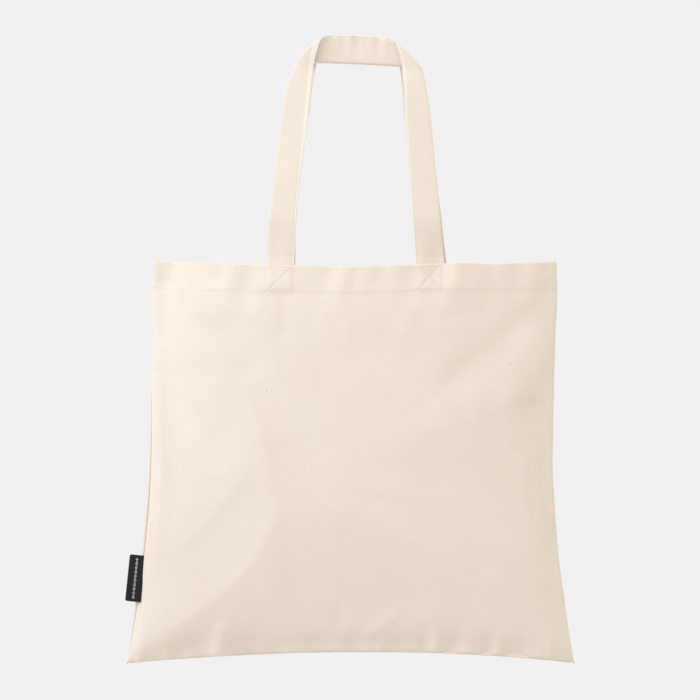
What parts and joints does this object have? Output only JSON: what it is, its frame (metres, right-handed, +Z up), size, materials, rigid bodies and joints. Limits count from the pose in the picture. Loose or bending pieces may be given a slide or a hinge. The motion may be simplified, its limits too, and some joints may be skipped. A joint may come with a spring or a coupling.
{
  "type": "canvas tote bag",
  "caption": "Flat unlined canvas tote bag with a turned hem, flat folded handles sewn inside the mouth and a small woven side label.",
  "frame": {"origin": "the point the bag hangs from: under the middle of the two handles' top bands", "axes": "+Z up along the hanging bag, -Y towards the front panel, +X to the right as seen from the front"},
  "size_m": [0.4138, 0.0884, 0.5766],
  "materials": {
    "canvas": "matte plain weave",
    "strap_canvas": "matte plain weave, folded strap",
    "thread": "soft sheen sewing thread",
    "label_tape": "black woven tape"
  },
  "bodies": {
    "bag": {"front_panel": "canvas", "back_panel": "canvas", "front_hem": "canvas", "back_hem": "canvas", "front_hem_stitching": "thread", "back_hem_stitching": "thread", "left_seam_allowance": "canvas", "right_seam_allowance": "canvas", "bottom_seam_allowance": "canvas", "front_left_strap_end": "strap_canvas", "front_left_box_stitching": "thread", "front_right_strap_end": "strap_canvas", "front_right_box_stitching": "thread", "back_left_strap_end": "strap_canvas", "back_left_box_stitching": "thread", "back_right_strap_end": "strap_canvas", "back_right_box_stitching": "thread", "side_label_root": "label_tape"},
    "front_handle": {"front_strap": "strap_canvas"},
    "back_handle": {"back_strap": "strap_canvas"},
    "label": {"side_label": "label_tape"}
  },
  "joints": [
    {"name": "front_handle_swing", "type": "hinge", "parent": "bag", "child": "front_handle", "pos_m": [0, -0.0417, -0.185], "axis": [1, 0, 0], "range_deg": [0, 160]},
    {"name": "back_handle_swing", "type": "hinge", "parent": "bag", "child": "back_handle", "pos_m": [0, 0.0417, -0.185], "axis": [-1, 0, 0], "range_deg": [0, 160]},
    {"name": "label_flex", "type": "hinge", "parent": "bag", "child": "label", "pos_m": [-0.19999, -0.01064, -0.47661], "axis": [0.1505, 0, 0.9886], "range_deg": [-60, 85], "stiffness_Nm_per_rad": 0.0004}
  ]
}
